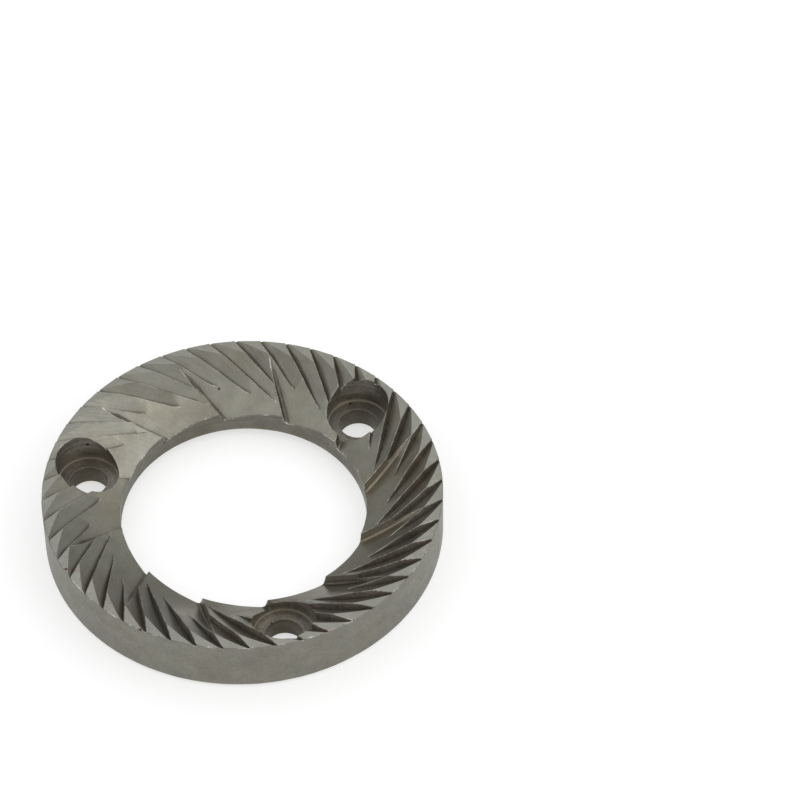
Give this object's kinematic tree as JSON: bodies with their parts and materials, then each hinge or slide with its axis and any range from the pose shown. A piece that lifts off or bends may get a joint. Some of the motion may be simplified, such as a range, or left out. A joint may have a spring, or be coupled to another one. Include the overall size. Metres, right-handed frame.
{
  "type": "flat coffee grinder burr",
  "caption": "Flat steel ring burr for a coffee grinder: skewed fine teeth at the rim, coarse breaker cuts to the bore, counterbored screw holes.",
  "frame": {"origin": "on the ring's axis, in the plane of the back's seat ring", "axes": "+Z along the axis toward the toothed face; +X toward the viewer's right in the picture, +Y away"},
  "size_m": [0.064, 0.064, 0.0098],
  "materials": {
    "tool_steel": "hardened tool steel, matt grey with a brown tint; finely ground lands at the rim, worn bright edges"
  },
  "bodies": {
    "root": {"burr": "tool_steel"}
  },
  "joints": []
}
